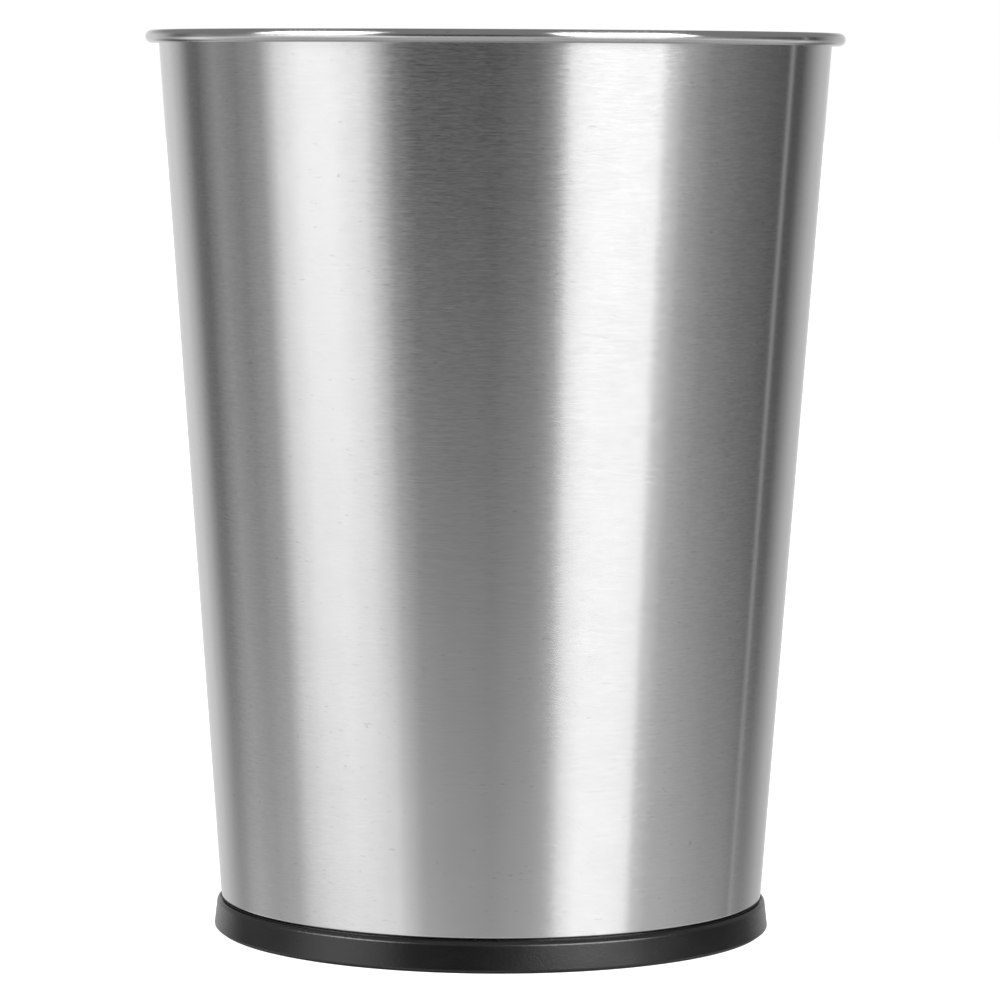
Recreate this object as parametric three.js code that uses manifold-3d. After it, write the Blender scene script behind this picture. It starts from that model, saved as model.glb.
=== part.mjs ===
// A round, tapered, open-topped wastebasket of thin brushed stainless steel. It stands on a
// moulded plastic base ring with a soft anti-slip foot ring under it.
//
// Units are millimetres and +Z is up. The origin is at the centre of the bottom, on the floor,
// and the axis of every round piece is the Z axis. The front of the basket faces -Y.

import * as THREE from 'three';
import { mergeVertices } from 'three/addons/utils/BufferGeometryUtils.js';
import Module from 'manifold-3d';

const wasm = await Module();
wasm.setup();

// ---------------------------------------------------------------- driving dimensions

const HEIGHT = 315; // floor to the top of the rim
const RIM_RADIUS = 121.9; // outside of the rolled rim
const BASE_RADIUS = 97.8; // outside of the base ring, just above the floor
const SHEET = 0.5; // steel sheet of the wall and of the bottom plate
const GAP = 0.3; // clearance between neighbouring pieces
const SEGMENTS = 60; // facets round every large turned piece
const WELD_DISTANCE = 1e-4; // vertices closer than this are one vertex

// Steel wall: a straight cone above a small shoulder, where the sheet steps in to a neck that
// stands in the base ring.
const WALL_FOOT_Z = 12.2; // top of the shoulder
const WALL_FOOT_RADIUS = 95.35;
const WALL_TOP_RADIUS = 117.35;
const NECK_STEP = 0.9;
const SHOULDER_BEND_RADIUS = 0.6; // centre line of its two bends

// Rolled rim: the sheet curls outward into a hollow bead with round ends.
const BEAD_HEIGHT = 4.4;

// Lock seam at the bottom: the wall is folded inward and up, and grips the flange of the plate.
const HEM_BOTTOM_Z = 4;
const HEM_TOP_Z = 9.2;
const SEAM_PLAY = 0.15; // on each side of the plate's flange

// Bottom plate: a pressed disc with a stiffening bead and a flange turned down at its edge.
const PLATE_TOP_Z = 11.6;
const PLATE_EDGE_BEND = 2;
const SWAGE_INNER_RADIUS = 64;
const SWAGE_OUTER_RADIUS = 74;
const SWAGE_RISE = 1.2;

// Base ring: a channel that holds the seam, with a bevelled skirt outside and an upstand inside.
const SKIRT_BOTTOM_Z = 0.8;
const SKIRT_LIP_Z = 10.7;
const BEVEL_WIDTH = 0.95;
const BEVEL_HEIGHT = 1.05;
const SKIRT_FLARE = 1; // how much wider the skirt is at the floor than at its bevel
const CHANNEL_FLOOR_Z = 3.7;
const UPSTAND_INNER_RADIUS = 89.9;
const UPSTAND_OUTER_RADIUS = 91.6;
const BOSS_RADIUS = 4;
const RIB_COUNT = 12;
const RIB_THICKNESS = 1.4;
const RIB_DEPTH = 2; // how far a rib stands in from the upstand

// Foot ring: a flat band in a pocket in the underside of the base ring.
const POCKET_INNER_RADIUS = 91.8;
const POCKET_OUTER_RADIUS = 96.8;
const POCKET_CEILING_Z = 1.6;

// Screws: driven down through the plate into the bosses of the base ring.
const SCREW_COUNT = 4;
const SCREW_CIRCLE_RADIUS = 86.2;
const SCREW_SHANK_RADIUS = 1.75;
const SCREW_LENGTH = 7.5;
const SCREW_HEAD_RADIUS = 3.6;
const SCREW_HEAD_HEIGHT = 2.4;
const SCREW_SEGMENTS = 16;

// ---------------------------------------------------------------- worked-out dimensions

const HALF_SHEET = SHEET / 2;
const BEND_RADIUS = BEAD_HEIGHT / 2 - HALF_SHEET; // centre line of the rim's bends
const BEAD_CENTRE_Z = HEIGHT - BEAD_HEIGHT / 2;
const WALL_SLOPE = (WALL_TOP_RADIUS - WALL_FOOT_RADIUS) / (BEAD_CENTRE_Z - WALL_FOOT_Z);

const SLOT_WIDTH = SHEET + 2 * SEAM_PLAY; // between the wall and its folded-up hem
const HEM_BEND_RADIUS = (SLOT_WIDTH + SHEET) / 2;
const HEM_BEND_Z = HEM_BOTTOM_Z + HALF_SHEET + HEM_BEND_RADIUS;
const PLATE_CENTRE_Z = PLATE_TOP_Z - HALF_SHEET;
const PLATE_UNDERSIDE_Z = PLATE_TOP_Z - SHEET;
const UPSTAND_TOP_Z = PLATE_UNDERSIDE_Z - GAP;

// Outside radius of the conical wall, and of the neck below it, at a height.
const wallRadius = (z) => WALL_FOOT_RADIUS + (z - WALL_FOOT_Z) * WALL_SLOPE;
const neckRadius = (z) => wallRadius(z) - NECK_STEP;

// Centre line of the wall, of the neck, of the folded hem and of the slot beside it, at a height.
const wallLine = (z) => wallRadius(z) - HALF_SHEET;
const neckLine = (z) => neckRadius(z) - HALF_SHEET;
const hemLine = (z) => neckLine(z) - 2 * HEM_BEND_RADIUS;
const slotLine = (z) => neckLine(z) - HEM_BEND_RADIUS;

// ---------------------------------------------------------------- outlines

// Points on an arc in the (radius, height) plane, from one angle to another, in degrees.
function arc(centreR, centreZ, radius, fromDegrees, toDegrees, steps) {
  const points = [];
  for (let i = 0; i <= steps; i += 1) {
    const angle = THREE.MathUtils.degToRad(fromDegrees + ((toDegrees - fromDegrees) * i) / steps);
    points.push([centreR + radius * Math.cos(angle), centreZ + radius * Math.sin(angle)]);
  }
  return points;
}

// Unit normal to the left of the step from one point to the next.
function leftNormal(from, to) {
  const length = Math.hypot(to[0] - from[0], to[1] - from[1]);
  return [-(to[1] - from[1]) / length, (to[0] - from[0]) / length];
}

// A centre line moved sideways by a distance, with mitred corners.
function offsetLine(line, distance) {
  return line.map((point, i) => {
    const before = i > 0 ? leftNormal(line[i - 1], point) : leftNormal(point, line[i + 1]);
    const after = i < line.length - 1 ? leftNormal(point, line[i + 1]) : before;
    const scale = distance / (1 + before[0] * after[0] + before[1] * after[1]);
    return [point[0] + (before[0] + after[0]) * scale, point[1] + (before[1] + after[1]) * scale];
  });
}

// Closed outline of a sheet that follows a centre line. A line that starts on the axis makes an
// outline that starts and ends on the axis.
function sheetOutline(line) {
  const outline = [...offsetLine(line, HALF_SHEET), ...offsetLine(line, -HALF_SHEET).reverse()];
  return line[0][0] === 0 ? outline : [...outline, outline[0]];
}

// ---------------------------------------------------------------- solids

// A solid of revolution about Z from an outline of (radius, height) points.
function turned(outline, segments = SEGMENTS) {
  const points = outline.map(([r, z]) => new THREE.Vector2(r, z));
  const geometry = new THREE.LatheGeometry(points, segments);
  geometry.rotateX(Math.PI / 2);
  return toManifold(geometry);
}

// A manifold solid from a three.js geometry, turned inside out if its faces point inward.
function toManifold(geometry) {
  geometry.deleteAttribute('normal');
  geometry.deleteAttribute('uv');
  const merged = mergeVertices(geometry, WELD_DISTANCE);
  const corners = merged.index.array;
  const triangles = [];
  for (let i = 0; i < corners.length; i += 3) {
    const [a, b, c] = [corners[i], corners[i + 1], corners[i + 2]];
    if (a !== b && b !== c && c !== a) triangles.push(a, b, c);
  }
  const vertProperties = new Float32Array(merged.attributes.position.array);
  if (signedVolume(vertProperties, triangles) < 0) triangles.reverse();
  return new wasm.Manifold(
    new wasm.Mesh({ numProp: 3, vertProperties, triVerts: new Uint32Array(triangles) }),
  );
}

function signedVolume(positions, triangles) {
  const [a, b, c] = [new THREE.Vector3(), new THREE.Vector3(), new THREE.Vector3()];
  let volume = 0;
  for (let i = 0; i < triangles.length; i += 3) {
    a.fromArray(positions, 3 * triangles[i]);
    b.fromArray(positions, 3 * triangles[i + 1]);
    c.fromArray(positions, 3 * triangles[i + 2]);
    volume += a.dot(b.cross(c)) / 6;
  }
  return volume;
}

// A box between two corners, turned about Z by an angle in radians.
function bar(low, high, angle) {
  const size = high.map((value, i) => value - low[i]);
  const geometry = new THREE.BoxGeometry(...size);
  geometry.translate(low[0] + size[0] / 2, low[1] + size[1] / 2, low[2] + size[2] / 2);
  geometry.rotateZ(angle);
  return toManifold(geometry);
}

// An upright cylinder on the screw circle.
function post(radius, bottomZ, topZ, angle) {
  const geometry = new THREE.CylinderGeometry(radius, radius, topZ - bottomZ, SCREW_SEGMENTS);
  geometry.rotateX(Math.PI / 2);
  const [x, y] = onScrewCircle(angle);
  geometry.translate(x, y, (topZ + bottomZ) / 2);
  return toManifold(geometry);
}

function onScrewCircle(angle) {
  return [SCREW_CIRCLE_RADIUS * Math.cos(angle), SCREW_CIRCLE_RADIUS * Math.sin(angle)];
}

// Angles of evenly spaced items about Z, with the first at a share of a step from +X.
function evenAngles(count, offset = 0) {
  return Array.from({ length: count }, (_, i) => ((i + offset) * 2 * Math.PI) / count);
}

function mesh(name, solid, material) {
  const { vertProperties, triVerts } = solid.getMesh();
  const geometry = new THREE.BufferGeometry();
  geometry.setAttribute('position', new THREE.BufferAttribute(vertProperties, 3));
  geometry.setIndex(new THREE.BufferAttribute(triVerts, 1));
  geometry.computeVertexNormals();
  const result = new THREE.Mesh(geometry, material);
  result.name = name;
  return result;
}

// ---------------------------------------------------------------- materials

function material(color, roughness, metalness) {
  return new THREE.MeshStandardMaterial({ color, roughness, metalness, flatShading: true });
}

const brushedSteel = () => material('#b4b4b4', 0.32, 1);
const dullSteel = () => material('#9c9c9c', 0.4, 1);
const zincPlate = () => material('#c9c9c9', 0.25, 1);
const blackPlastic = () => material('#242424', 0.45, 0);
const blackRubber = () => material('#1b1b1b', 0.75, 0);

// ---------------------------------------------------------------- wall with rolled rim and hem

// The S of two equal bends by which the sheet steps out from the neck to the foot of the wall.
function shoulderLine() {
  const outward = wallLine(WALL_FOOT_Z) - neckLine(WALL_FOOT_Z);
  const turn = Math.acos(1 - outward / (2 * SHOULDER_BEND_RADIUS));
  const degrees = THREE.MathUtils.radToDeg(turn);
  const lowBendZ = WALL_FOOT_Z - 2 * SHOULDER_BEND_RADIUS * Math.sin(turn);
  const lowBendR = neckLine(WALL_FOOT_Z) + SHOULDER_BEND_RADIUS;
  const highBendR = wallLine(WALL_FOOT_Z) - SHOULDER_BEND_RADIUS;
  return [
    ...arc(lowBendR, lowBendZ, SHOULDER_BEND_RADIUS, 180, 180 - degrees, 3),
    ...arc(highBendR, WALL_FOOT_Z, SHOULDER_BEND_RADIUS, -degrees, 0, 3).slice(1),
  ];
}

// Centre line from the free edge of the hem, round the fold, up the neck and over the shoulder,
// up the wall and round the rim.
function shellLine() {
  const firstBendR = wallLine(BEAD_CENTRE_Z) + BEND_RADIUS;
  const lastBendR = RIM_RADIUS - HALF_SHEET - BEND_RADIUS;
  const returnEndR = wallRadius(BEAD_CENTRE_Z - BEND_RADIUS) + GAP;
  return [
    [hemLine(HEM_TOP_Z), HEM_TOP_Z],
    ...arc(slotLine(HEM_BEND_Z), HEM_BEND_Z, HEM_BEND_RADIUS, 180, 360, 5),
    ...shoulderLine(),
    ...arc(firstBendR, BEAD_CENTRE_Z, BEND_RADIUS, 180, 90, 4),
    ...arc(lastBendR, BEAD_CENTRE_Z, BEND_RADIUS, 90, -90, 8),
    [returnEndR, BEAD_CENTRE_Z - BEND_RADIUS],
  ];
}

function bodyShell() {
  return mesh('body_shell', turned(sheetOutline(shellLine())), brushedSteel());
}

// ---------------------------------------------------------------- bottom plate

// Centre line from the axis, over the stiffening bead, round the edge and down the flange.
function plateLine() {
  const edgeBendZ = PLATE_CENTRE_Z - PLATE_EDGE_BEND;
  const flangeEndZ = HEM_BEND_Z + 0.1; // just above the fold of the hem
  const rampWidth = 2 * SWAGE_RISE;
  return [
    [0, PLATE_CENTRE_Z],
    [SWAGE_INNER_RADIUS, PLATE_CENTRE_Z],
    [SWAGE_INNER_RADIUS + rampWidth, PLATE_CENTRE_Z + SWAGE_RISE],
    [SWAGE_OUTER_RADIUS - rampWidth, PLATE_CENTRE_Z + SWAGE_RISE],
    [SWAGE_OUTER_RADIUS, PLATE_CENTRE_Z],
    ...arc(slotLine(edgeBendZ) - PLATE_EDGE_BEND, edgeBendZ, PLATE_EDGE_BEND, 90, 0, 4),
    [slotLine(flangeEndZ), flangeEndZ],
  ];
}

function bottomPlate() {
  const holeRadius = SCREW_SHANK_RADIUS + 1.5 * GAP;
  let solid = turned(sheetOutline(plateLine()));
  for (const angle of evenAngles(SCREW_COUNT)) {
    solid = solid.subtract(post(holeRadius, PLATE_UNDERSIDE_Z - 1, PLATE_TOP_Z + 1, angle));
  }
  return mesh('bottom_plate', solid, dullSteel());
}

// ---------------------------------------------------------------- base ring

// Outline of the ring: round the outside of the skirt, over its lip, down into the channel that
// holds the seam, over the upstand, and back along the underside and the foot's pocket.
function baseRingOutline() {
  const skirtEdge = 0.5; // rounding of the skirt's bottom edge
  const skirtFace = GAP + 0.05; // from the neck to the inner face of the skirt
  const bevelRadius = BASE_RADIUS - SKIRT_FLARE;
  const outline = [
    ...arc(BASE_RADIUS - skirtEdge, SKIRT_BOTTOM_Z + skirtEdge, skirtEdge, -90, 0, 3),
    [bevelRadius, SKIRT_LIP_Z - BEVEL_HEIGHT],
    [bevelRadius - BEVEL_WIDTH, SKIRT_LIP_Z],
    [neckRadius(SKIRT_LIP_Z) + skirtFace, SKIRT_LIP_Z],
    [neckRadius(CHANNEL_FLOOR_Z) + skirtFace, CHANNEL_FLOOR_Z],
    [UPSTAND_OUTER_RADIUS, CHANNEL_FLOOR_Z],
    [UPSTAND_OUTER_RADIUS, UPSTAND_TOP_Z],
    [UPSTAND_INNER_RADIUS, UPSTAND_TOP_Z],
    [UPSTAND_INNER_RADIUS, SKIRT_BOTTOM_Z],
    [POCKET_INNER_RADIUS, SKIRT_BOTTOM_Z],
    [POCKET_INNER_RADIUS, POCKET_CEILING_Z],
    [POCKET_OUTER_RADIUS, POCKET_CEILING_Z],
    [POCKET_OUTER_RADIUS, SKIRT_BOTTOM_Z],
  ];
  return [...outline, outline[0]];
}

// The ring with upright ribs on the inside of its upstand, and a blind-bored boss for each screw,
// joined to the upstand by a block.
function baseRing() {
  const ribTopZ = UPSTAND_TOP_Z - 1;
  const ribBottomZ = SKIRT_BOTTOM_Z + 1;
  const bossBottomZ = SKIRT_BOTTOM_Z + 1.4;
  const blockHalfWidth = BOSS_RADIUS * 0.75;
  const boreRadius = SCREW_SHANK_RADIUS + GAP + 0.05;
  const boreBottomZ = PLATE_TOP_Z - SCREW_LENGTH - 2 * GAP;
  const rooted = (UPSTAND_INNER_RADIUS + UPSTAND_OUTER_RADIUS) / 2; // inside the upstand
  let solid = turned(baseRingOutline());
  for (const angle of evenAngles(RIB_COUNT, 0.5)) {
    const low = [UPSTAND_INNER_RADIUS - RIB_DEPTH, -RIB_THICKNESS / 2, ribBottomZ];
    const high = [rooted, RIB_THICKNESS / 2, ribTopZ];
    solid = solid.add(bar(low, high, angle));
  }
  for (const angle of evenAngles(SCREW_COUNT)) {
    const low = [SCREW_CIRCLE_RADIUS, -blockHalfWidth, bossBottomZ];
    const high = [rooted, blockHalfWidth, UPSTAND_TOP_Z];
    solid = solid.add(bar(low, high, angle));
    solid = solid.add(post(BOSS_RADIUS, bossBottomZ, UPSTAND_TOP_Z, angle));
    solid = solid.subtract(post(boreRadius, boreBottomZ, UPSTAND_TOP_Z + 1, angle));
  }
  return mesh('base_ring', solid, blackPlastic());
}

// ---------------------------------------------------------------- foot ring

// A flat band with chamfered edges and one groove round its sole.
function footRing() {
  const inner = POCKET_INNER_RADIUS + GAP;
  const outer = POCKET_OUTER_RADIUS - GAP;
  const top = POCKET_CEILING_Z - GAP;
  const chamfer = 0.3;
  const middle = (inner + outer) / 2;
  const grooveHalfWidth = 0.35;
  const grooveDepth = 0.4;
  const outline = [
    [inner + chamfer, 0],
    [middle - grooveHalfWidth, 0],
    [middle - grooveHalfWidth, grooveDepth],
    [middle + grooveHalfWidth, grooveDepth],
    [middle + grooveHalfWidth, 0],
    [outer - chamfer, 0],
    [outer, chamfer],
    [outer, top],
    [inner, top],
    [inner, chamfer],
  ];
  return mesh('foot_ring', turned([...outline, outline[0]]), blackRubber());
}

// ---------------------------------------------------------------- screws

// A self-tapping screw with a pan head and a cross recess, point down, its head's seat at z = 0.
function screwSolid() {
  const collar = SCREW_HEAD_HEIGHT * 0.45; // straight side of the head, below its dome
  const crown = SCREW_HEAD_RADIUS * 0.6; // flat top of the dome
  const domeShoulder = [SCREW_HEAD_RADIUS * 0.88, SCREW_HEAD_HEIGHT * 0.82];
  const pointLength = 1.8;
  const recessDepth = 1.4;
  const recessLength = 2.6; // from the axis to the end of each arm at the surface
  const recessHalfWidth = 0.5;
  const screw = turned(
    [
      [0, -SCREW_LENGTH],
      [SCREW_SHANK_RADIUS, pointLength - SCREW_LENGTH],
      [SCREW_SHANK_RADIUS, 0],
      [SCREW_HEAD_RADIUS, 0],
      [SCREW_HEAD_RADIUS, collar],
      domeShoulder,
      [crown, SCREW_HEAD_HEIGHT],
      [0, SCREW_HEAD_HEIGHT],
    ],
    SCREW_SEGMENTS,
  );
  const low = [-recessLength / 2, -recessHalfWidth, SCREW_HEAD_HEIGHT - recessDepth];
  const high = [recessLength / 2, recessHalfWidth, SCREW_HEAD_HEIGHT + 1];
  const recess = bar(low, high, 0).add(bar(low, high, Math.PI / 2));
  return screw.subtract(recess);
}

function screws() {
  const solid = screwSolid();
  return evenAngles(SCREW_COUNT).map((angle, i) => {
    const screw = mesh(`base_screw_${i + 1}`, solid, zincPlate());
    const [x, y] = onScrewCircle(angle);
    screw.position.set(x, y, PLATE_TOP_Z + GAP);
    screw.rotation.z = angle;
    return screw;
  });
}

// ---------------------------------------------------------------- assembly

const wastebasket = new THREE.Group();
wastebasket.add(bodyShell(), bottomPlate(), baseRing(), footRing(), ...screws());

export default wastebasket;
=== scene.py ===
# Visual model of a round, tapered wastebasket of brushed stainless steel on a black plastic base
# ring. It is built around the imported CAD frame: metres, +Z up, the front faces -Y.

import math

import bmesh
import bpy
from mathutils import Matrix, Vector


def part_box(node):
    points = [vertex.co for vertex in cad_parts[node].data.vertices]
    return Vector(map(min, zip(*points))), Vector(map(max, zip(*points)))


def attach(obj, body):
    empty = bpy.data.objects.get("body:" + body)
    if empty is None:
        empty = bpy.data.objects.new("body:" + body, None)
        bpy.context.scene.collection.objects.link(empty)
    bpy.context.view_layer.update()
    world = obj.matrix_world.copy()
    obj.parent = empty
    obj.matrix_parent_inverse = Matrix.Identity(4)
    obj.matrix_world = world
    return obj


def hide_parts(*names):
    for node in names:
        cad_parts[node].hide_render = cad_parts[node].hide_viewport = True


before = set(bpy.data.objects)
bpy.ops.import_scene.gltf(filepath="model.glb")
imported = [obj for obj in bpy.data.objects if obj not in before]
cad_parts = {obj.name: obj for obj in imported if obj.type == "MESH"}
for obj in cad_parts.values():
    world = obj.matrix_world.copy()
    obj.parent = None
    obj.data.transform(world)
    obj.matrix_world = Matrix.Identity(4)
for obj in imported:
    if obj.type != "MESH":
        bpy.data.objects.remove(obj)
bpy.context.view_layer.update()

# ------------------------------------------------------------------ sizes

MM = 0.001
SEGMENTS = 384  # facets round the large turned pieces
SMOOTH_LIMIT = math.radians(35)  # edges sharper than this are drawn as creases
SUPPORT = 0.25 * MM  # extra loop this far from each end of a long straight stretch

shell_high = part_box("body_shell")[1]
plate_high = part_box("bottom_plate")[1]
ring_low, ring_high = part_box("base_ring")
foot_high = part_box("foot_ring")[1]

SHEET = 0.5 * MM
GAP = 0.3 * MM
SEAM_PLAY = 0.15 * MM

HEIGHT = shell_high.z
RIM_RADIUS = shell_high.x
BEAD_HEIGHT = 4.4 * MM
BEAD_OVERHANG = 4.55 * MM  # from the wall to the outermost point of the bead
BEAD_RADIUS = (BEAD_HEIGHT - SHEET) / 2  # of the sheet's centre line
BEAD_Z = HEIGHT - BEAD_HEIGHT / 2

SWAGE_RISE = 1.2 * MM
SWAGE_INNER = 64 * MM
SWAGE_OUTER = 74 * MM
PLATE_BEND = 2 * MM
PLATE_TOP = plate_high.z - SWAGE_RISE
PLATE_MIDDLE = PLATE_TOP - SHEET / 2
PLATE_BEND_Z = PLATE_MIDDLE - PLATE_BEND

# The wall is a straight cone. Just above the base ring it steps in to a neck that fits round the
# flange of the plate.
NECK_STEP = 0.9 * MM
SHOULDER_Z = 12.2 * MM
SHOULDER_BEND = 0.6 * MM  # of the sheet's centre line
WALL_LOW_RADIUS = plate_high.x + SEAM_PLAY + SHEET + NECK_STEP
WALL_TOP_RADIUS = RIM_RADIUS - BEAD_OVERHANG
WALL_SLOPE = (WALL_TOP_RADIUS - WALL_LOW_RADIUS) / (BEAD_Z - PLATE_BEND_Z)

HEM_BEND = SHEET + SEAM_PLAY
HEM_BOTTOM = 4 * MM
HEM_TOP = 9.2 * MM
HEM_BEND_Z = HEM_BOTTOM + SHEET / 2 + HEM_BEND

RING_RADIUS = ring_high.x
RING_BOTTOM = ring_low.z
UPSTAND_TOP = ring_high.z
RING_LIP = UPSTAND_TOP - 0.1 * MM
RING_FLARE = 1 * MM
BEVEL_WIDTH = 0.95 * MM
BEVEL_HEIGHT = 1.05 * MM
COLLAR_RISE = 0.35 * MM  # a fine collar at the lip's inner edge, up under the shoulder
COLLAR_WIDTH = 0.33 * MM
LIP_GROOVE = 0.6 * MM  # depth of the groove between the collar and the bevel
LIP_LAND = 0.2 * MM  # flat strip between the groove and the bevel
SKIRT_PLAY = GAP + 0.05 * MM  # between the steel and the ring
CHANNEL_FLOOR = 3.7 * MM
UPSTAND_INNER = 89.9 * MM
UPSTAND_OUTER = 91.6 * MM
POCKET_INNER = 91.8 * MM
POCKET_OUTER = foot_high.x + GAP
POCKET_CEILING = foot_high.z + GAP
RIB_ROOT = (UPSTAND_INNER + UPSTAND_OUTER) / 2  # ribs and bosses end inside the upstand
RIB_COUNT = 12
RIB_WIDTH = 1.4 * MM
RIB_DEPTH = 2 * MM

BOSS_RADIUS = 4 * MM
BOSS_BOTTOM = RING_BOTTOM + 1.4 * MM
BORE_DEPTH = 0.9 * MM  # below the screw's point
SCREW_SHANK = 1.75 * MM  # radius over the thread
SCREW_ROOT = 0.72 * SCREW_SHANK
SCREW_TIP = 1.8 * MM  # length of the point
THREAD_PITCH = 1.3 * MM
SCREW_HEAD = 3.6 * MM  # radius
SCREW_HEAD_HEIGHT = 2.4 * MM
SCREW_HEAD_SIDE = 0.3 * SCREW_HEAD_HEIGHT  # the rest of the height is the dome
RECESS_DEPTH = 1.4 * MM
RECESS_LENGTH = 4 * MM
RECESS_WIDTH = 0.84 * MM
SCREW_NAMES = sorted(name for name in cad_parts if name.startswith("base_screw_"))


def wall_radius(z):
    """Outside radius of the steel wall at a height."""
    return WALL_LOW_RADIUS + (z - PLATE_BEND_Z) * WALL_SLOPE


def wall_line(z):
    """Radius of the wall's centre line at a height."""
    return wall_radius(z) - SHEET / 2


def neck_line(z):
    """Radius of the neck's centre line at a height."""
    return wall_line(z) - NECK_STEP


# ------------------------------------------------------------------ outlines


def arc(centre, radius, from_degrees, to_degrees, steps=12):
    """Points on an arc in the (radius, height) plane."""
    points = []
    for i in range(steps + 1):
        angle = math.radians(from_degrees + (to_degrees - from_degrees) * i / steps)
        points.append(Vector(centre) + radius * Vector((math.cos(angle), math.sin(angle))))
    return points


def rounded(corners, steps=6):
    """A closed outline from (radius, height, rounding) corners, each rounding made an arc."""
    points = []
    for i, (r, z, rounding) in enumerate(corners):
        here = Vector((r, z))
        before = Vector(corners[i - 1][:2]) - here
        after = Vector(corners[(i + 1) % len(corners)][:2]) - here
        if rounding == 0:
            points.append(here)
            continue
        half_angle = before.angle(after) / 2
        reach = rounding / math.tan(half_angle)
        centre = here + (before.normalized() + after.normalized()).normalized() * (
            rounding / math.sin(half_angle)
        )
        start = here + before.normalized() * reach - centre
        end = here + after.normalized() * reach - centre
        for k in range(steps + 1):
            points.append(centre + start.slerp(end, k / steps).normalized() * rounding)
    return points


def supported(points, closed):
    """The outline with an extra point near each end of every long straight stretch."""
    result = []
    last = len(points) if closed else len(points) - 1
    for i in range(last):
        here, there = points[i], points[(i + 1) % len(points)]
        step = there - here
        result.append(here)
        if step.length > 4 * SUPPORT:
            result.append(here + step.normalized() * SUPPORT)
            result.append(there - step.normalized() * SUPPORT)
    return result if closed else [*result, points[-1]]


def offset_line(line, distance):
    """A centre line moved to its left by a distance, with mitred corners."""
    normals = []
    for here, there in zip(line, line[1:]):
        step = (there - here).normalized()
        normals.append(Vector((-step.y, step.x)))
    moved = []
    for i, point in enumerate(line):
        before = normals[max(i - 1, 0)]
        after = normals[min(i, len(normals) - 1)]
        moved.append(point + (before + after) * (distance / (1 + before.dot(after))))
    return moved


def sheet_outline(line):
    """Both faces of a sheet that follows a centre line, as one outline."""
    line = supported(line, closed=False)
    return offset_line(line, SHEET / 2) + offset_line(line, -SHEET / 2)[::-1]


# ------------------------------------------------------------------ mesh tools


def turned(outline, segments=SEGMENTS, radius_change=None):
    """A closed bmesh of revolution about Z. An outline that starts and ends on the axis is capped
    there. radius_change(angle, height) may add to a point's radius, as a thread does."""
    mesh = bmesh.new()
    rings = []
    for r, z in outline:
        if r < 1e-9:
            rings.append([mesh.verts.new((0, 0, z))])
            continue
        ring = []
        for k in range(segments):
            angle = 2 * math.pi * k / segments
            radius = r + (radius_change(angle, z) if radius_change else 0)
            ring.append(mesh.verts.new((radius * math.cos(angle), radius * math.sin(angle), z)))
        rings.append(ring)
    on_axis = len(rings[0]) == 1
    for i in range(len(rings) - 1 if on_axis else len(rings)):
        low, high = rings[i], rings[(i + 1) % len(rings)]
        for k in range(segments):
            after = (k + 1) % segments
            corners = []
            for ring, step in ((low, k), (low, after), (high, after), (high, k)):
                corner = ring[0] if len(ring) == 1 else ring[step]
                if corner not in corners:
                    corners.append(corner)
            mesh.faces.new(corners)
    bmesh.ops.recalc_face_normals(mesh, faces=mesh.faces)
    return mesh


def block(low, high, bevel=0.0, angle=0.0):
    """A bmesh box between two corners with bevelled edges, turned about Z."""
    mesh = bmesh.new()
    bmesh.ops.create_cube(mesh, size=1)
    for vertex in mesh.verts:
        share = vertex.co + Vector((0.5, 0.5, 0.5))
        vertex.co = Vector([a + (b - a) * s for a, b, s in zip(low, high, share)])
    if bevel:
        bmesh.ops.bevel(mesh, geom=mesh.edges[:], offset=bevel, segments=3, profile=0.5,
                        affect="EDGES")
    mesh.transform(Matrix.Rotation(angle, 4, "Z"))
    return mesh


def post(radius, low, high, centre, segments=48):
    """A bmesh cylinder standing at a centre (x, y)."""
    mesh = turned([(0, low), (radius, low), (radius, high), (0, high)], segments)
    mesh.transform(Matrix.Translation((*centre, 0)))
    return mesh


def as_object(name, mesh):
    """An object in the scene made from a bmesh, which is freed."""
    data = bpy.data.meshes.new(name)
    mesh.to_mesh(data)
    mesh.free()
    piece = bpy.data.objects.new(name, data)
    bpy.context.scene.collection.objects.link(piece)
    return piece


def combine(piece, tool_mesh, operation):
    """Joins a closed bmesh to a piece, or cuts it away, and frees the tool."""
    tool = as_object("tool", tool_mesh)
    modifier = piece.modifiers.new("combine", "BOOLEAN")
    modifier.object = tool
    modifier.operation = operation
    modifier.solver = "MANIFOLD"
    bpy.context.view_layer.update()
    evaluated = piece.evaluated_get(bpy.context.evaluated_depsgraph_get())
    result = bpy.data.meshes.new_from_object(evaluated)
    piece.modifiers.clear()
    piece.data = result
    bpy.data.objects.remove(tool)


def smooth(piece):
    """Smooth shading with creases at the sharp edges."""
    mesh = bmesh.new()
    mesh.from_mesh(piece.data)
    for face in mesh.faces:
        face.smooth = True
    for edge in mesh.edges:
        edge.smooth = len(edge.link_faces) == 2 and edge.calc_face_angle(0) < SMOOTH_LIMIT
    mesh.to_mesh(piece.data)
    mesh.free()


def install(piece, node, material):
    """Puts a finished piece in the place of its CAD node."""
    smooth(piece)
    piece.data.materials.clear()
    piece.data.materials.append(material)
    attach(piece, "root")
    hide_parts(node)
    return piece


# ------------------------------------------------------------------ material tools


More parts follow.
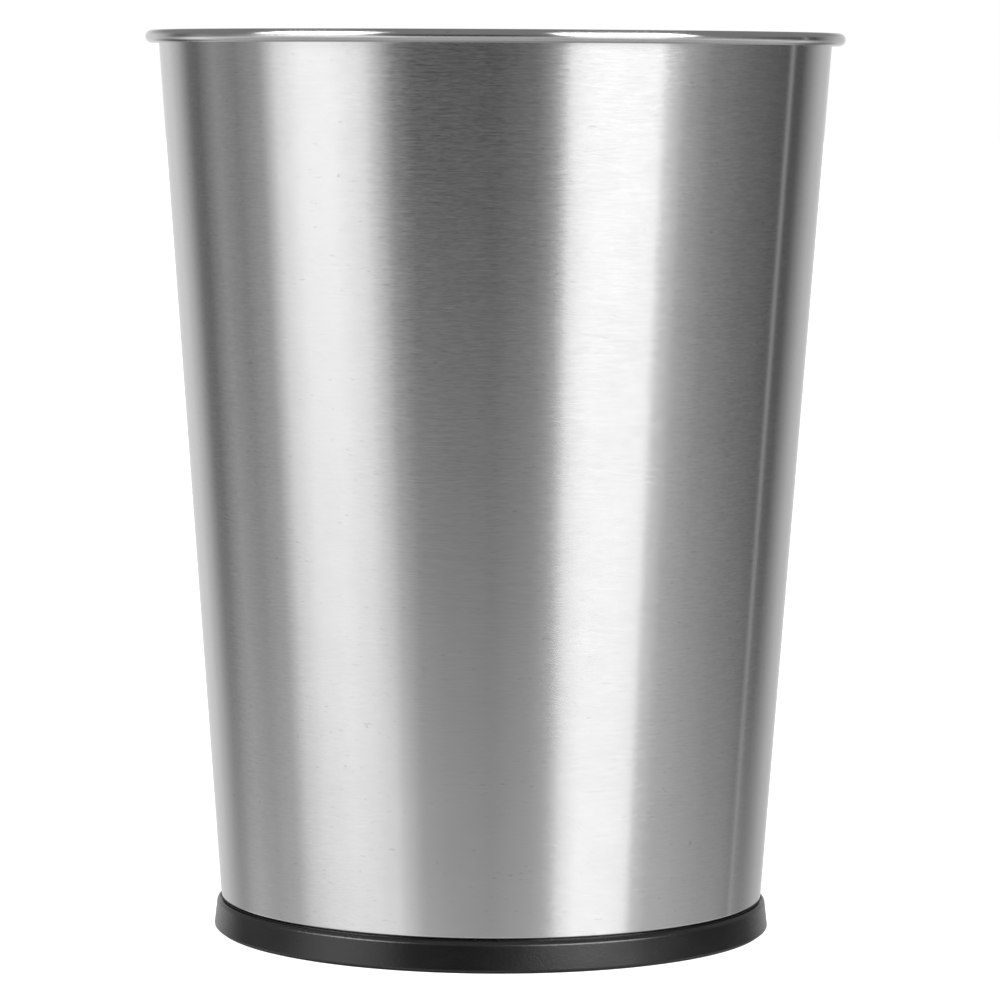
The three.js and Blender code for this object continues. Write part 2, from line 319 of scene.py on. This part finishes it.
class Nodes:
    """The node tree of a material or of the world, with short calls for the nodes that repeat."""

    def __init__(self, owner):
        owner.use_nodes = True
        self.tree = owner.node_tree

    def new(self, kind):
        return self.tree.nodes.new("ShaderNode" + kind)

    def link(self, source, target):
        self.tree.links.new(source, target)

    def place(self, scale):
        """Object coordinates stretched by a scale on each axis."""
        coordinates = self.new("TexCoord")
        mapping = self.new("Mapping")
        mapping.inputs["Scale"].default_value = scale
        self.link(coordinates.outputs["Object"], mapping.inputs["Vector"])
        return mapping.outputs["Vector"]

    def noise(self, scale, detail=2.0, roughness=0.5):
        """A 0 to 1 noise with about so many grains to the metre on each axis."""
        node = self.new("TexNoise")
        node.inputs["Scale"].default_value = 1.0
        node.inputs["Detail"].default_value = detail
        node.inputs["Roughness"].default_value = roughness
        self.link(self.place(scale), node.inputs["Vector"])
        return node.outputs["Fac"]

    def math(self, operation, *values):
        node = self.new("Math")
        node.operation = operation
        for socket, value in zip(node.inputs, values):
            if isinstance(value, (int, float)):
                socket.default_value = value
            else:
                self.link(value, socket)
        return node.outputs["Value"]

    def spread(self, value, low, high, from_low=0.3, from_high=0.7, smoothly=False):
        """A range of values mapped onto another and clamped to its ends."""
        node = self.new("MapRange")
        if smoothly:
            node.interpolation_type = "SMOOTHSTEP"
        node.inputs["From Min"].default_value = from_low
        node.inputs["From Max"].default_value = from_high
        node.inputs["To Min"].default_value = low
        node.inputs["To Max"].default_value = high
        self.link(value, node.inputs["Value"])
        return node.outputs["Result"]

    def step(self, value, start, end):
        """0 before the start, 1 after the end, and smooth between them."""
        return self.spread(value, 0, 1, start, end, smoothly=True)

    def window(self, value, edges):
        """1 between the inner two of four edges, 0 outside the outer two."""
        return self.math("SUBTRACT", self.step(value, *edges[:2]), self.step(value, *edges[2:]))

    def blend(self, factor, first, second):
        """The first value where the factor is 0 and the second where it is 1."""
        kept = self.math("MULTIPLY", self.math("SUBTRACT", 1, factor), first)
        return self.math("ADD", kept, self.math("MULTIPLY", factor, second))

    def curve(self, place, stops, top):
        """The height, up to a top, of a line through (place, height) stops. Places are 0 to 1."""
        node = self.new("FloatCurve")
        points = node.mapping.curves[0].points
        node.mapping.use_clip = False
        while len(points) < len(stops):
            points.new(0.5, 0.5)
        for point, (along, height) in zip(points, stops):
            point.location = (along, height / top)
            point.handle_type = "VECTOR"
        node.mapping.update()
        self.link(place, node.inputs["Value"])
        return self.math("MULTIPLY", node.outputs["Value"], top)

    def grey(self, value):
        """A grey colour from a number."""
        node = self.new("CombineColor")
        for socket in node.inputs:
            self.link(value, socket)
        return node.outputs["Color"]

    def bump(self, height, distance):
        """A normal that tilts as if a 0 to 1 height stood out by a distance."""
        node = self.new("Bump")
        node.inputs["Strength"].default_value = 1.0
        node.inputs["Distance"].default_value = distance
        self.link(height, node.inputs["Height"])
        return node.outputs["Normal"]


class Surface(Nodes):
    """A material of one Principled shader."""

    def __init__(self, name):
        self.material = bpy.data.materials.new(name)
        super().__init__(self.material)
        self.shader = self.tree.nodes["Principled BSDF"]

    def socket(self, name):
        return self.shader.inputs[name]


# ------------------------------------------------------------------ materials


def brushed_steel(name, colour, roughness, anisotropy):
    """Stainless sheet brushed round the body. The fine level scratches blur what it reflects up and
    down, but hardly sideways."""
    nodes = Surface(name)
    scratches = nodes.noise((380, 380, 2600), detail=3.0, roughness=0.6)
    long_scratches = nodes.noise((120, 120, 1600), detail=2.0)
    clouds = nodes.noise((60, 60, 60), detail=2.0)
    nicks = nodes.noise((420, 420, 1300), detail=1.0)
    streaks = nodes.blend(0.35, scratches, long_scratches)
    tone = nodes.spread(streaks, 0.96 * colour, 1.04 * colour)
    tone = nodes.math("MULTIPLY", tone, nodes.spread(clouds, 0.985, 1.015))
    marks = nodes.spread(nicks, 1.0, 0.88, from_low=0.70, from_high=0.76)
    nodes.link(nodes.grey(nodes.math("MULTIPLY", tone, marks)), nodes.socket("Base Color"))
    nodes.link(nodes.spread(streaks, roughness - 0.03, roughness + 0.03), nodes.socket("Roughness"))
    nodes.link(nodes.bump(streaks, 0.006 * MM), nodes.socket("Normal"))
    tangent = nodes.new("Tangent")
    tangent.direction_type = "RADIAL"
    tangent.axis = "Z"
    nodes.link(tangent.outputs["Tangent"], nodes.socket("Tangent"))
    nodes.socket("Metallic").default_value = 1.0
    nodes.socket("Anisotropic").default_value = anisotropy
    nodes.socket("Anisotropic Rotation").default_value = 0.25
    return nodes.material


def dull_steel(name, colour, roughness):
    """Stainless sheet as it leaves the mill: an even, faintly pebbled grey."""
    nodes = Surface(name)
    pebble = nodes.noise((1800, 1800, 1800), detail=2.0)
    clouds = nodes.noise((35, 35, 35), detail=3.0)
    tone = nodes.spread(clouds, colour * 0.95, colour * 1.05)
    nodes.link(nodes.grey(tone), nodes.socket("Base Color"))
    nodes.link(nodes.spread(clouds, roughness + 0.04, roughness - 0.04), nodes.socket("Roughness"))
    nodes.link(nodes.bump(pebble, 0.004 * MM), nodes.socket("Normal"))
    nodes.socket("Metallic").default_value = 1.0
    return nodes.material


def zinc_plate(name):
    """Bright zinc on a rolled screw."""
    nodes = Surface(name)
    stain = nodes.noise((600, 600, 600), detail=2.0)
    nodes.link(nodes.grey(nodes.spread(stain, 0.66, 0.76)), nodes.socket("Base Color"))
    nodes.link(nodes.spread(stain, 0.3, 0.2), nodes.socket("Roughness"))
    nodes.socket("Metallic").default_value = 1.0
    return nodes.material


def black_plastic(name):
    """Satin moulded black plastic with a fine grain."""
    nodes = Surface(name)
    grain = nodes.noise((1100, 1100, 1100), detail=2.0, roughness=0.7)
    flow = nodes.noise((40, 40, 120), detail=2.0)
    nodes.link(nodes.grey(nodes.spread(flow, 0.004, 0.006)), nodes.socket("Base Color"))
    nodes.link(nodes.spread(flow, 0.24, 0.30), nodes.socket("Roughness"))
    nodes.link(nodes.bump(grain, 0.06 * MM), nodes.socket("Normal"))
    nodes.socket("IOR").default_value = 1.55
    return nodes.material


def black_rubber(name):
    """Matt elastomer with a coarse bloom."""
    nodes = Surface(name)
    bloom = nodes.noise((900, 900, 900), detail=3.0)
    nodes.link(nodes.grey(nodes.spread(bloom, 0.011, 0.018)), nodes.socket("Base Color"))
    nodes.link(nodes.spread(bloom, 0.7, 0.85), nodes.socket("Roughness"))
    nodes.link(nodes.bump(bloom, 0.02 * MM), nodes.socket("Normal"))
    return nodes.material


# ------------------------------------------------------------------ pieces


def shoulder_line():
    """The S of two equal bends by which the sheet steps out from the neck to the wall's foot."""
    turn = math.degrees(math.acos(1 - NECK_STEP / (2 * SHOULDER_BEND)))
    low_z = SHOULDER_Z - 2 * SHOULDER_BEND * math.sin(math.radians(turn))
    low = (neck_line(SHOULDER_Z) + SHOULDER_BEND, low_z)
    high = (wall_line(SHOULDER_Z) - SHOULDER_BEND, SHOULDER_Z)
    return [
        *arc(low, SHOULDER_BEND, 180, 180 - turn, steps=8),
        *arc(high, SHOULDER_BEND, -turn, 0, steps=8)[1:],
    ]


def wall_and_rim():
    """One sheet: the hem's free edge, the fold, the neck, the shoulder, the wall, and the rim
    rolled outward."""
    first_bend = (wall_line(BEAD_Z) + BEAD_RADIUS, BEAD_Z)
    last_bend = (RIM_RADIUS - SHEET / 2 - BEAD_RADIUS, BEAD_Z)
    bead_underside = BEAD_Z - BEAD_RADIUS
    line = [
        Vector((neck_line(HEM_TOP) - 2 * HEM_BEND, HEM_TOP)),
        *arc((neck_line(HEM_BEND_Z) - HEM_BEND, HEM_BEND_Z), HEM_BEND, 180, 360),
        *shoulder_line(),
        *arc(first_bend, BEAD_RADIUS, 180, 90),
        *arc(last_bend, BEAD_RADIUS, 90, -90, steps=24),
        Vector((wall_radius(bead_underside) + GAP, bead_underside)),
    ]
    piece = as_object("wall_and_rim", turned(sheet_outline(line)))
    steel = brushed_steel("brushed_steel", colour=0.64, roughness=0.155, anisotropy=1.0)
    return install(piece, "body_shell", steel)


def bottom_pan():
    """The pressed bottom, with a stiffening bead and a flange that hangs in the hem."""
    ramp = 2 * SWAGE_RISE
    high = PLATE_MIDDLE + SWAGE_RISE
    flange_end = HEM_BEND_Z + 0.1 * MM
    swage = [
        Vector((SWAGE_INNER, PLATE_MIDDLE)),
        Vector((SWAGE_INNER + ramp, high)),
        Vector((SWAGE_OUTER - ramp, high)),
        Vector((SWAGE_OUTER, PLATE_MIDDLE)),
    ]
    bend_centre = (neck_line(PLATE_BEND_Z) - HEM_BEND - PLATE_BEND, PLATE_BEND_Z)
    line = [
        Vector((0, PLATE_MIDDLE)),
        *softened(swage, 1.5 * MM),
        *arc(bend_centre, PLATE_BEND, 90, 0),
        Vector((neck_line(flange_end) - HEM_BEND, flange_end)),
    ]
    piece = as_object("bottom_pan", turned(sheet_outline(line)))
    for name in SCREW_NAMES:
        hole = post(SCREW_SHANK + 1.5 * GAP, PLATE_TOP - 2 * MM, PLATE_TOP + MM, screw_centre(name))
        combine(piece, hole, "DIFFERENCE")
    return install(piece, "bottom_plate", dull_steel("plate_steel", colour=0.55, roughness=0.34))


def softened(line, rounding, steps=5):
    """An open line whose corners are short arcs, with a level stretch taken as before and after it."""
    level = Vector((5 * MM, 0))
    closed = [line[0] - level, *line, line[-1] + level]
    corners = [(*point, rounding) for point in closed]
    corners[0] = (*closed[0], 0)
    corners[-1] = (*closed[-1], 0)
    return rounded(corners, steps)[1:-1]


def screw_centre(name):
    """Centre (x, y) of a screw, from its CAD box."""
    low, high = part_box(name)
    return (low.x + high.x) / 2, (low.y + high.y) / 2


def base_moulding():
    """The base ring: a channel with a bevelled skirt, an upstand with ribs, and screw bosses."""
    bevel_low_radius = RING_RADIUS - RING_FLARE
    bevel_high_radius = bevel_low_radius - BEVEL_WIDTH
    groove_outer = bevel_high_radius - LIP_LAND
    groove_floor = RING_LIP - LIP_GROOVE
    collar_inner = neck_line(RING_LIP) + SHEET / 2 + SKIRT_PLAY
    collar_outer = collar_inner + COLLAR_WIDTH
    collar_top = RING_LIP + COLLAR_RISE
    channel_outer = neck_line(CHANNEL_FLOOR) + SHEET / 2 + SKIRT_PLAY
    edge = 0.15 * MM
    fine = 0.05 * MM
    corners = [
        (RING_RADIUS, RING_BOTTOM, 0.5 * MM),
        (bevel_low_radius, RING_LIP - BEVEL_HEIGHT, 1.2 * MM),
        (bevel_high_radius, RING_LIP, fine),
        (groove_outer, RING_LIP, fine),
        (groove_outer, groove_floor, fine),
        (collar_outer, groove_floor, fine),
        (collar_outer, collar_top, fine),
        (collar_inner, collar_top, fine),
        (channel_outer, CHANNEL_FLOOR, 0.3 * MM),
        (UPSTAND_OUTER, CHANNEL_FLOOR, 0.3 * MM),
        (UPSTAND_OUTER, UPSTAND_TOP, edge),
        (UPSTAND_INNER, UPSTAND_TOP, edge),
        (UPSTAND_INNER, RING_BOTTOM, edge),
        (POCKET_INNER, RING_BOTTOM, edge),
        (POCKET_INNER, POCKET_CEILING, edge),
        (POCKET_OUTER, POCKET_CEILING, edge),
        (POCKET_OUTER, RING_BOTTOM, edge),
    ]
    piece = as_object("base_moulding", turned(supported(rounded(corners), closed=True)))
    for i in range(RIB_COUNT):
        combine(piece, rib((i + 0.5) * 2 * math.pi / RIB_COUNT), "UNION")
    for name in SCREW_NAMES:
        add_boss(piece, name)
    return install(piece, "base_ring", black_plastic("base_plastic"))


def rib(angle):
    """One stiffening rib on the inside of the upstand."""
    low = (UPSTAND_INNER - RIB_DEPTH, -RIB_WIDTH / 2, RING_BOTTOM + MM)
    high = (RIB_ROOT, RIB_WIDTH / 2, UPSTAND_TOP - MM)
    return block(low, high, 0.3 * MM, angle)


def add_boss(piece, screw_name):
    """A blind-bored boss for a screw, joined to the upstand by a block."""
    centre = screw_centre(screw_name)
    distance, angle = math.hypot(*centre), math.atan2(centre[1], centre[0])
    bore_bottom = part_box(screw_name)[0].z - BORE_DEPTH
    half_width = BOSS_RADIUS * 0.75
    low = (distance, -half_width, BOSS_BOTTOM)
    high = (RIB_ROOT, half_width, UPSTAND_TOP)
    combine(piece, block(low, high, angle=angle), "UNION")
    combine(piece, post(BOSS_RADIUS, BOSS_BOTTOM, UPSTAND_TOP, centre), "UNION")
    bore = post(SCREW_SHANK + GAP + 0.05 * MM, bore_bottom, UPSTAND_TOP + MM, centre)
    combine(piece, bore, "DIFFERENCE")


def foot_band():
    """The soft ring under the base, with rounded edges and a groove round its sole."""
    inner = POCKET_INNER + GAP
    outer = foot_high.x
    middle = (inner + outer) / 2
    half_groove = 0.35 * MM
    groove_depth = 0.4 * MM
    edge = 0.1 * MM
    corners = [
        (inner, 0, 0.3 * MM),
        (middle - half_groove, 0, edge),
        (middle - half_groove, groove_depth, edge),
        (middle + half_groove, groove_depth, edge),
        (middle + half_groove, 0, edge),
        (outer, 0, 0.3 * MM),
        (outer, foot_high.z, edge),
        (inner, foot_high.z, edge),
    ]
    piece = as_object("foot_band", turned(supported(rounded(corners), closed=True)))
    return install(piece, "foot_ring", black_rubber("foot_rubber"))


def screw(name, material):
    """A pan-head self-tapping screw with a cross recess and a cut thread, point down."""
    low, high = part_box(name)
    seat = high.z - SCREW_HEAD_HEIGHT

    def thread(angle, z):
        """How far the thread stands out from its root."""
        turn = (z - low.z) / THREAD_PITCH - angle / (2 * math.pi)
        ridge = max(0.0, 1 - abs((turn % 1.0) - 0.5) * 3.2)
        run_out = min(1.0, (z - low.z) / SCREW_TIP, (seat - z) / (0.8 * MM))
        return (SCREW_SHANK - SCREW_ROOT) * ridge * max(0.0, run_out) if z < seat else 0.0

    outline = shank_outline(low.z, seat) + head_outline(seat)
    piece = as_object("visual_" + name, turned(outline, 48, thread))
    for angle in (0, math.pi / 2):
        combine(piece, recess_blade(seat, angle), "DIFFERENCE")
    centre = screw_centre(name)
    piece.data.transform(Matrix.Rotation(math.atan2(centre[1], centre[0]), 4, "Z"))
    piece.data.transform(Matrix.Translation((*centre, 0)))
    return install(piece, name, material)


def shank_outline(bottom, seat, rings=60):
    """The point and shank at the root of the thread, with rings close enough to carry it."""
    outline = [(0, bottom)]
    for i in range(1, rings):
        z = bottom + (seat - bottom) * i / rings
        outline.append((SCREW_ROOT * min(1.0, (z - bottom) / SCREW_TIP), z))
    return [*outline, (SCREW_ROOT, seat)]


def head_outline(seat, steps=16):
    """The flat seat, the side and the domed top of a pan head, up to the axis."""
    side = seat + SCREW_HEAD_SIDE
    outline = [(SCREW_HEAD, seat), (SCREW_HEAD, side)]
    for i in range(1, steps):
        angle = i / steps * math.pi / 2
        rise = (SCREW_HEAD_HEIGHT - SCREW_HEAD_SIDE) * math.sin(angle)
        outline.append((SCREW_HEAD * math.cos(angle) ** 0.6, side + rise))
    return [*outline, (0, seat + SCREW_HEAD_HEIGHT)]


def recess_blade(seat, angle):
    """One tapered bar of the cross recess."""
    top = seat + SCREW_HEAD_HEIGHT + 0.2 * MM
    floor_z = seat + SCREW_HEAD_HEIGHT - RECESS_DEPTH
    low = (-RECESS_LENGTH / 2, -RECESS_WIDTH / 2, floor_z)
    high = (RECESS_LENGTH / 2, RECESS_WIDTH / 2, top)
    mesh = block(low, high)
    for vertex in mesh.verts:
        if vertex.co.z < (floor_z + top) / 2:
            vertex.co.x *= 0.45
            vertex.co.y *= 0.7
    mesh.transform(Matrix.Rotation(angle, 4, "Z"))
    return mesh


# ------------------------------------------------------------------ stage, light and camera


def floor():
    """A plain pale floor, seen from above only, so that it never hides the underside. The studio's
    light already holds the floor's share, so the floor itself adds none."""
    mesh = bmesh.new()
    bmesh.ops.create_grid(mesh, x_segments=1, y_segments=1, size=20)
    piece = as_object("floor", mesh)
    paint = Surface("floor_paint")
    paint.socket("Base Color").default_value = (0.5, 0.5, 0.5, 1)
    paint.socket("Roughness").default_value = 0.9
    paint.socket("Specular IOR Level").default_value = 0.0
    paint.socket("Emission Color").default_value = (1, 1, 1, 1)
    paint.socket("Emission Strength").default_value = 0.86
    clear = paint.new("BsdfTransparent")
    sides = paint.new("NewGeometry")
    mix = paint.new("MixShader")
    paint.link(sides.outputs["Backfacing"], mix.inputs["Fac"])
    paint.link(paint.shader.outputs["BSDF"], mix.inputs[1])
    paint.link(clear.outputs["BSDF"], mix.inputs[2])
    paint.link(mix.outputs["Shader"], paint.tree.nodes["Material Output"].inputs["Surface"])
    piece.data.materials.append(paint.material)
    piece.visible_glossy = False
    piece.visible_diffuse = False
    piece.visible_shadow = False


# Brightness of the studio round the basket by compass angle in degrees, first at the horizon and
# then on the floor. 0 is where the camera stands, 90 is to the right, 180 behind the basket.
STUDIO = (
    (-180, 0.75, 0.05), (-150, 0.75, 0.10), (-140, 0.55, 0.45), (-130, 0.20, 1.05), (-124, 0.15, 1.20),
    (-118, 0.25, 1.00), (-112, 0.35, 0.80), (-100, 0.25, 0.80), (-88, 0.40, 0.75), (-84, 0.70, 0.70),
    (-80, 1.05, 0.60), (-70, 1.40, 0.70), (-58, 1.40, 0.90), (-46, 1.05, 1.10), (-40, 0.50, 1.50),
    (-35, 0.10, 1.35), (-28, 0.00, 0.95), (-18, 0.00, 0.80), (0, 0.00, 0.70), (14, 0.10, 0.75),
    (20, 0.30, 0.70), (23, 0.50, 0.65), (26, 1.10, 0.60), (30, 1.25, 1.00), (36, 1.30, 1.35),
    (50, 1.30, 1.35), (58, 1.30, 1.15), (61, 0.80, 0.70), (68, 0.50, 0.65), (80, 0.25, 0.85),
    (98, 0.15, 0.80), (120, 0.10, 0.80), (122, 0.45, 0.30), (124, 0.10, 0.80), (130, 0.10, 0.90),
    (142, 0.40, 0.45), (150, 0.55, 0.25), (160, 0.60, 0.10), (180, 0.75, 0.05),
)
BRIGHTEST = 2.0  # the top of the curves that hold these, above all of them
# Heights are sines of the angle above the horizon. Each pair gives where a change begins and ends.
FLOOR_HEIGHTS = (-0.14, -0.40)  # from the horizon's brightness to the floor's
DEEP_HEIGHTS = (-0.40, -0.65)  # from the floor to what lies close round the basket
DEEP = 0.5
CEILING_HEIGHTS = (0.06, 0.34)
CEILING = 0.26
# Each softbox: compass angles and heights where it begins, is full, is still full and has ended.
SOFTBOXES = (
    ((-93, -80, -52, -40), (0.30, 0.44, 0.56, 0.84), 9.0),
    ((19, 26, 63, 73), (0.16, 0.30, 0.56, 0.86), 9.0),
)


def room_light(nodes, compass, height):
    """The room without its softboxes: its sides, its floor and its ceiling."""
    turn = nodes.math("ADD", nodes.math("DIVIDE", compass, 360), 0.5)
    side_stops = [(angle / 360 + 0.5, side) for angle, side, _ in STUDIO]
    floor_stops = [(angle / 360 + 0.5, ground) for angle, _, ground in STUDIO]
    sides = nodes.curve(turn, side_stops, BRIGHTEST)
    ground = nodes.curve(turn, floor_stops, BRIGHTEST)
    room = nodes.blend(nodes.step(height, *FLOOR_HEIGHTS), sides, ground)
    room = nodes.blend(nodes.step(height, *DEEP_HEIGHTS), room, DEEP)
    return nodes.blend(nodes.step(height, *CEILING_HEIGHTS), room, CEILING)


def studio_light():
    """Plain soft light from all round, with a softbox to the left and to the right. What the camera
    itself sees beyond the floor is plain white."""
    world = bpy.data.worlds.new("studio")
    bpy.context.scene.world = world
    nodes = Nodes(world)
    direction = nodes.new("TexCoord")
    parts = nodes.new("SeparateXYZ")
    nodes.link(direction.outputs["Generated"], parts.inputs["Vector"])
    height = parts.outputs["Z"]
    to_camera = nodes.math("MULTIPLY", parts.outputs["Y"], -1)
    compass = nodes.math("DEGREES", nodes.math("ARCTAN2", parts.outputs["X"], to_camera))
    room = room_light(nodes, compass, height)
    for angles, heights, strength in SOFTBOXES:
        softbox = nodes.math("MULTIPLY", nodes.window(compass, angles), nodes.window(height, heights))
        room = nodes.math("MULTIPLY_ADD", softbox, strength, room)
    seen = nodes.new("LightPath")
    shown = nodes.blend(seen.outputs["Is Camera Ray"], room, 1)
    nodes.link(shown, nodes.tree.nodes["Background"].inputs["Color"])


CAMERA_DISTANCE = 5.469 * HEIGHT
CAMERA_HEIGHT = 0.957 * HEIGHT
CAMERA_PITCH, CAMERA_YAW, CAMERA_ROLL = 4.992, 0.081, 0.31  # degrees: down, to the right, tilted
LENS = 176.9
SENSOR = 36.0


def camera():
    """A long lens just below the height of the rim, looking slightly down."""
    data = bpy.data.cameras.new("camera")
    data.lens = LENS
    data.sensor_width = SENSOR
    data.clip_start, data.clip_end = 0.01, 100
    eye = bpy.data.objects.new("camera", data)
    bpy.context.scene.collection.objects.link(eye)
    turn = Matrix.Rotation(math.radians(-CAMERA_YAW), 4, "Z")
    tilt = Matrix.Rotation(math.radians(90 - CAMERA_PITCH), 4, "X")
    roll = Matrix.Rotation(math.radians(CAMERA_ROLL), 4, "Z")
    place = Matrix.Translation((0, -CAMERA_DISTANCE, CAMERA_HEIGHT))
    eye.matrix_world = place @ turn @ tilt @ roll
    bpy.context.scene.camera = eye


# ------------------------------------------------------------------ assembly

camera()
studio_light()
floor()
wall_and_rim()
bottom_pan()
base_moulding()
foot_band()
screw_material = zinc_plate("screw_zinc")
for screw_name in SCREW_NAMES:
    screw(screw_name, screw_material)

bpy.context.scene.view_settings.view_transform = "Standard"
